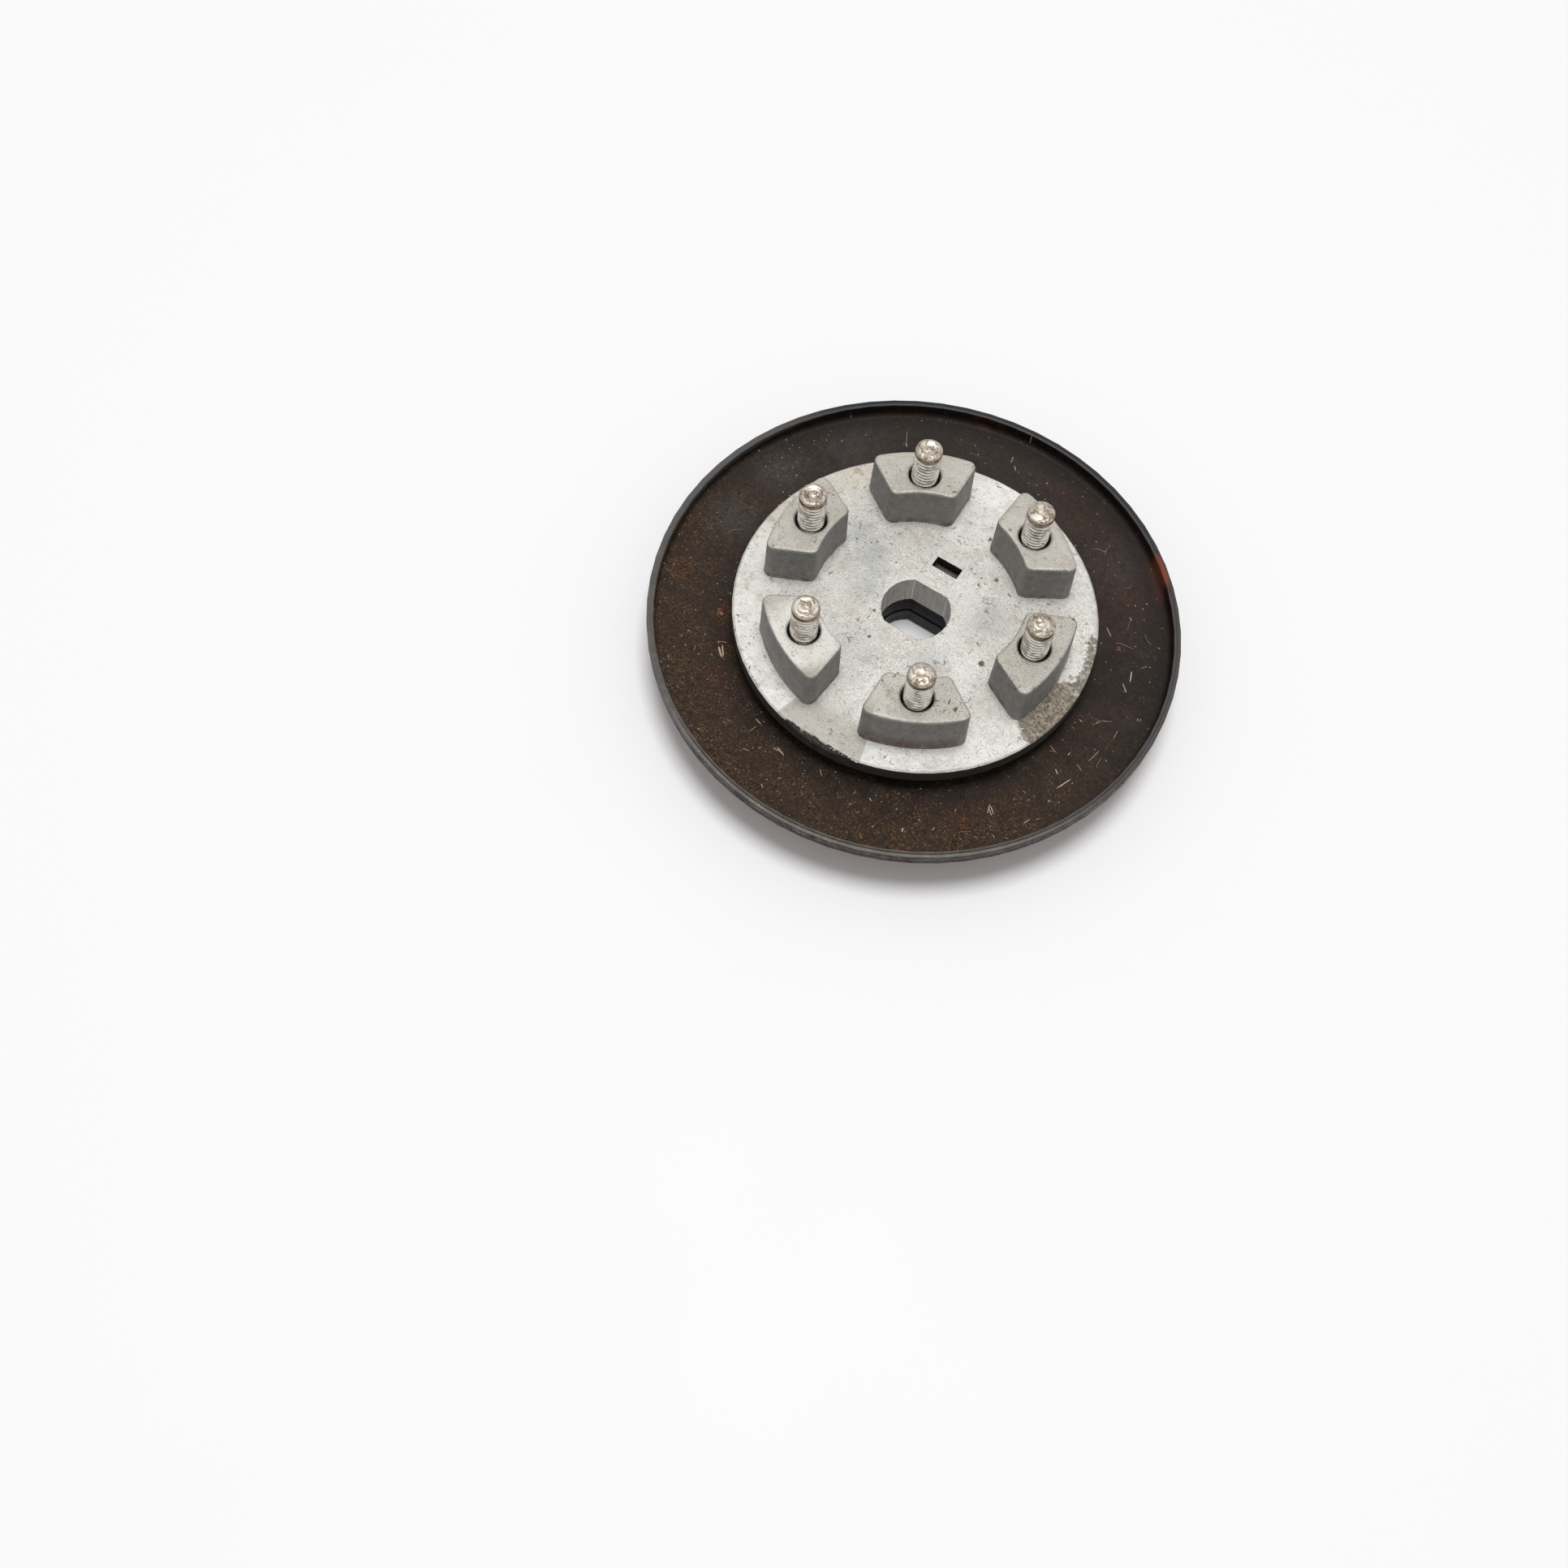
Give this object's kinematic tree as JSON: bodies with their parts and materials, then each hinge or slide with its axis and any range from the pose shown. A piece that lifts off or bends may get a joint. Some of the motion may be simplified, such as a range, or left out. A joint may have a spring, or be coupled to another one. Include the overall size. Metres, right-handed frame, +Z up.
{
  "type": "electromagnetic clutch driven half",
  "caption": "Driven half of an electromagnetic clutch: dished steel pan, cast hub with standing bosses and screws, and an armature ring on leaf springs below.",
  "frame": {"origin": "on the bore axis, in the plane of the screw heads that the part stands on", "axes": "+Z up along the bore axis towards the screw tips, +Y from the bore to the key slot, square to the flats of the bore"},
  "size_m": [0.1148, 0.1148, 0.0363],
  "materials": {
    "cast_aluminium": "as cast, fine grain, specked with dirt",
    "oiled_steel": "dark and oily with rust dust",
    "blued_steel": "blued shim stock",
    "black_steel": "blackened",
    "bright_steel": "bright, bare",
    "plated_steel": "nickel plated, dirty in the thread",
    "zinc": "zinc plated",
    "spring_steel": "bare spring steel",
    "armature_steel": "ground, lightly rusted",
    "friction_material": "moulded, red-brown",
    "stop_rubber": "matt black"
  },
  "bodies": {
    "driven_half": {"hub_casting": "cast_aluminium", "pan": "oiled_steel", "spacer": "blued_steel", "backing_plate": "black_steel", "bore_collar": "black_steel", "locating_key": "bright_steel", "screw_1": "plated_steel", "screw_2": "plated_steel", "screw_3": "plated_steel", "screw_4": "plated_steel", "screw_5": "plated_steel", "screw_6": "plated_steel", "washer_1": "zinc", "washer_2": "zinc", "washer_3": "zinc", "washer_4": "zinc", "washer_5": "zinc", "washer_6": "zinc", "leaf_spring_1": "spring_steel", "leaf_spring_2": "spring_steel", "leaf_spring_3": "spring_steel"},
    "armature": {"armature_ring": "armature_steel", "friction_facing": "friction_material", "armature_rivet_1": "bright_steel", "armature_rivet_2": "bright_steel", "armature_rivet_3": "bright_steel", "stop_pad_1": "stop_rubber", "stop_pad_2": "stop_rubber", "stop_pad_3": "stop_rubber"}
  },
  "joints": [
    {"name": "armature_pull_in", "type": "slide", "parent": "driven_half", "child": "armature", "axis": [0, 0, -1], "range_m": [0, 0.0005], "stiffness_N_per_m": 16000, "springref_m": -0.0002, "deforming": ["leaf_spring_1", "leaf_spring_2", "leaf_spring_3"]}
  ]
}
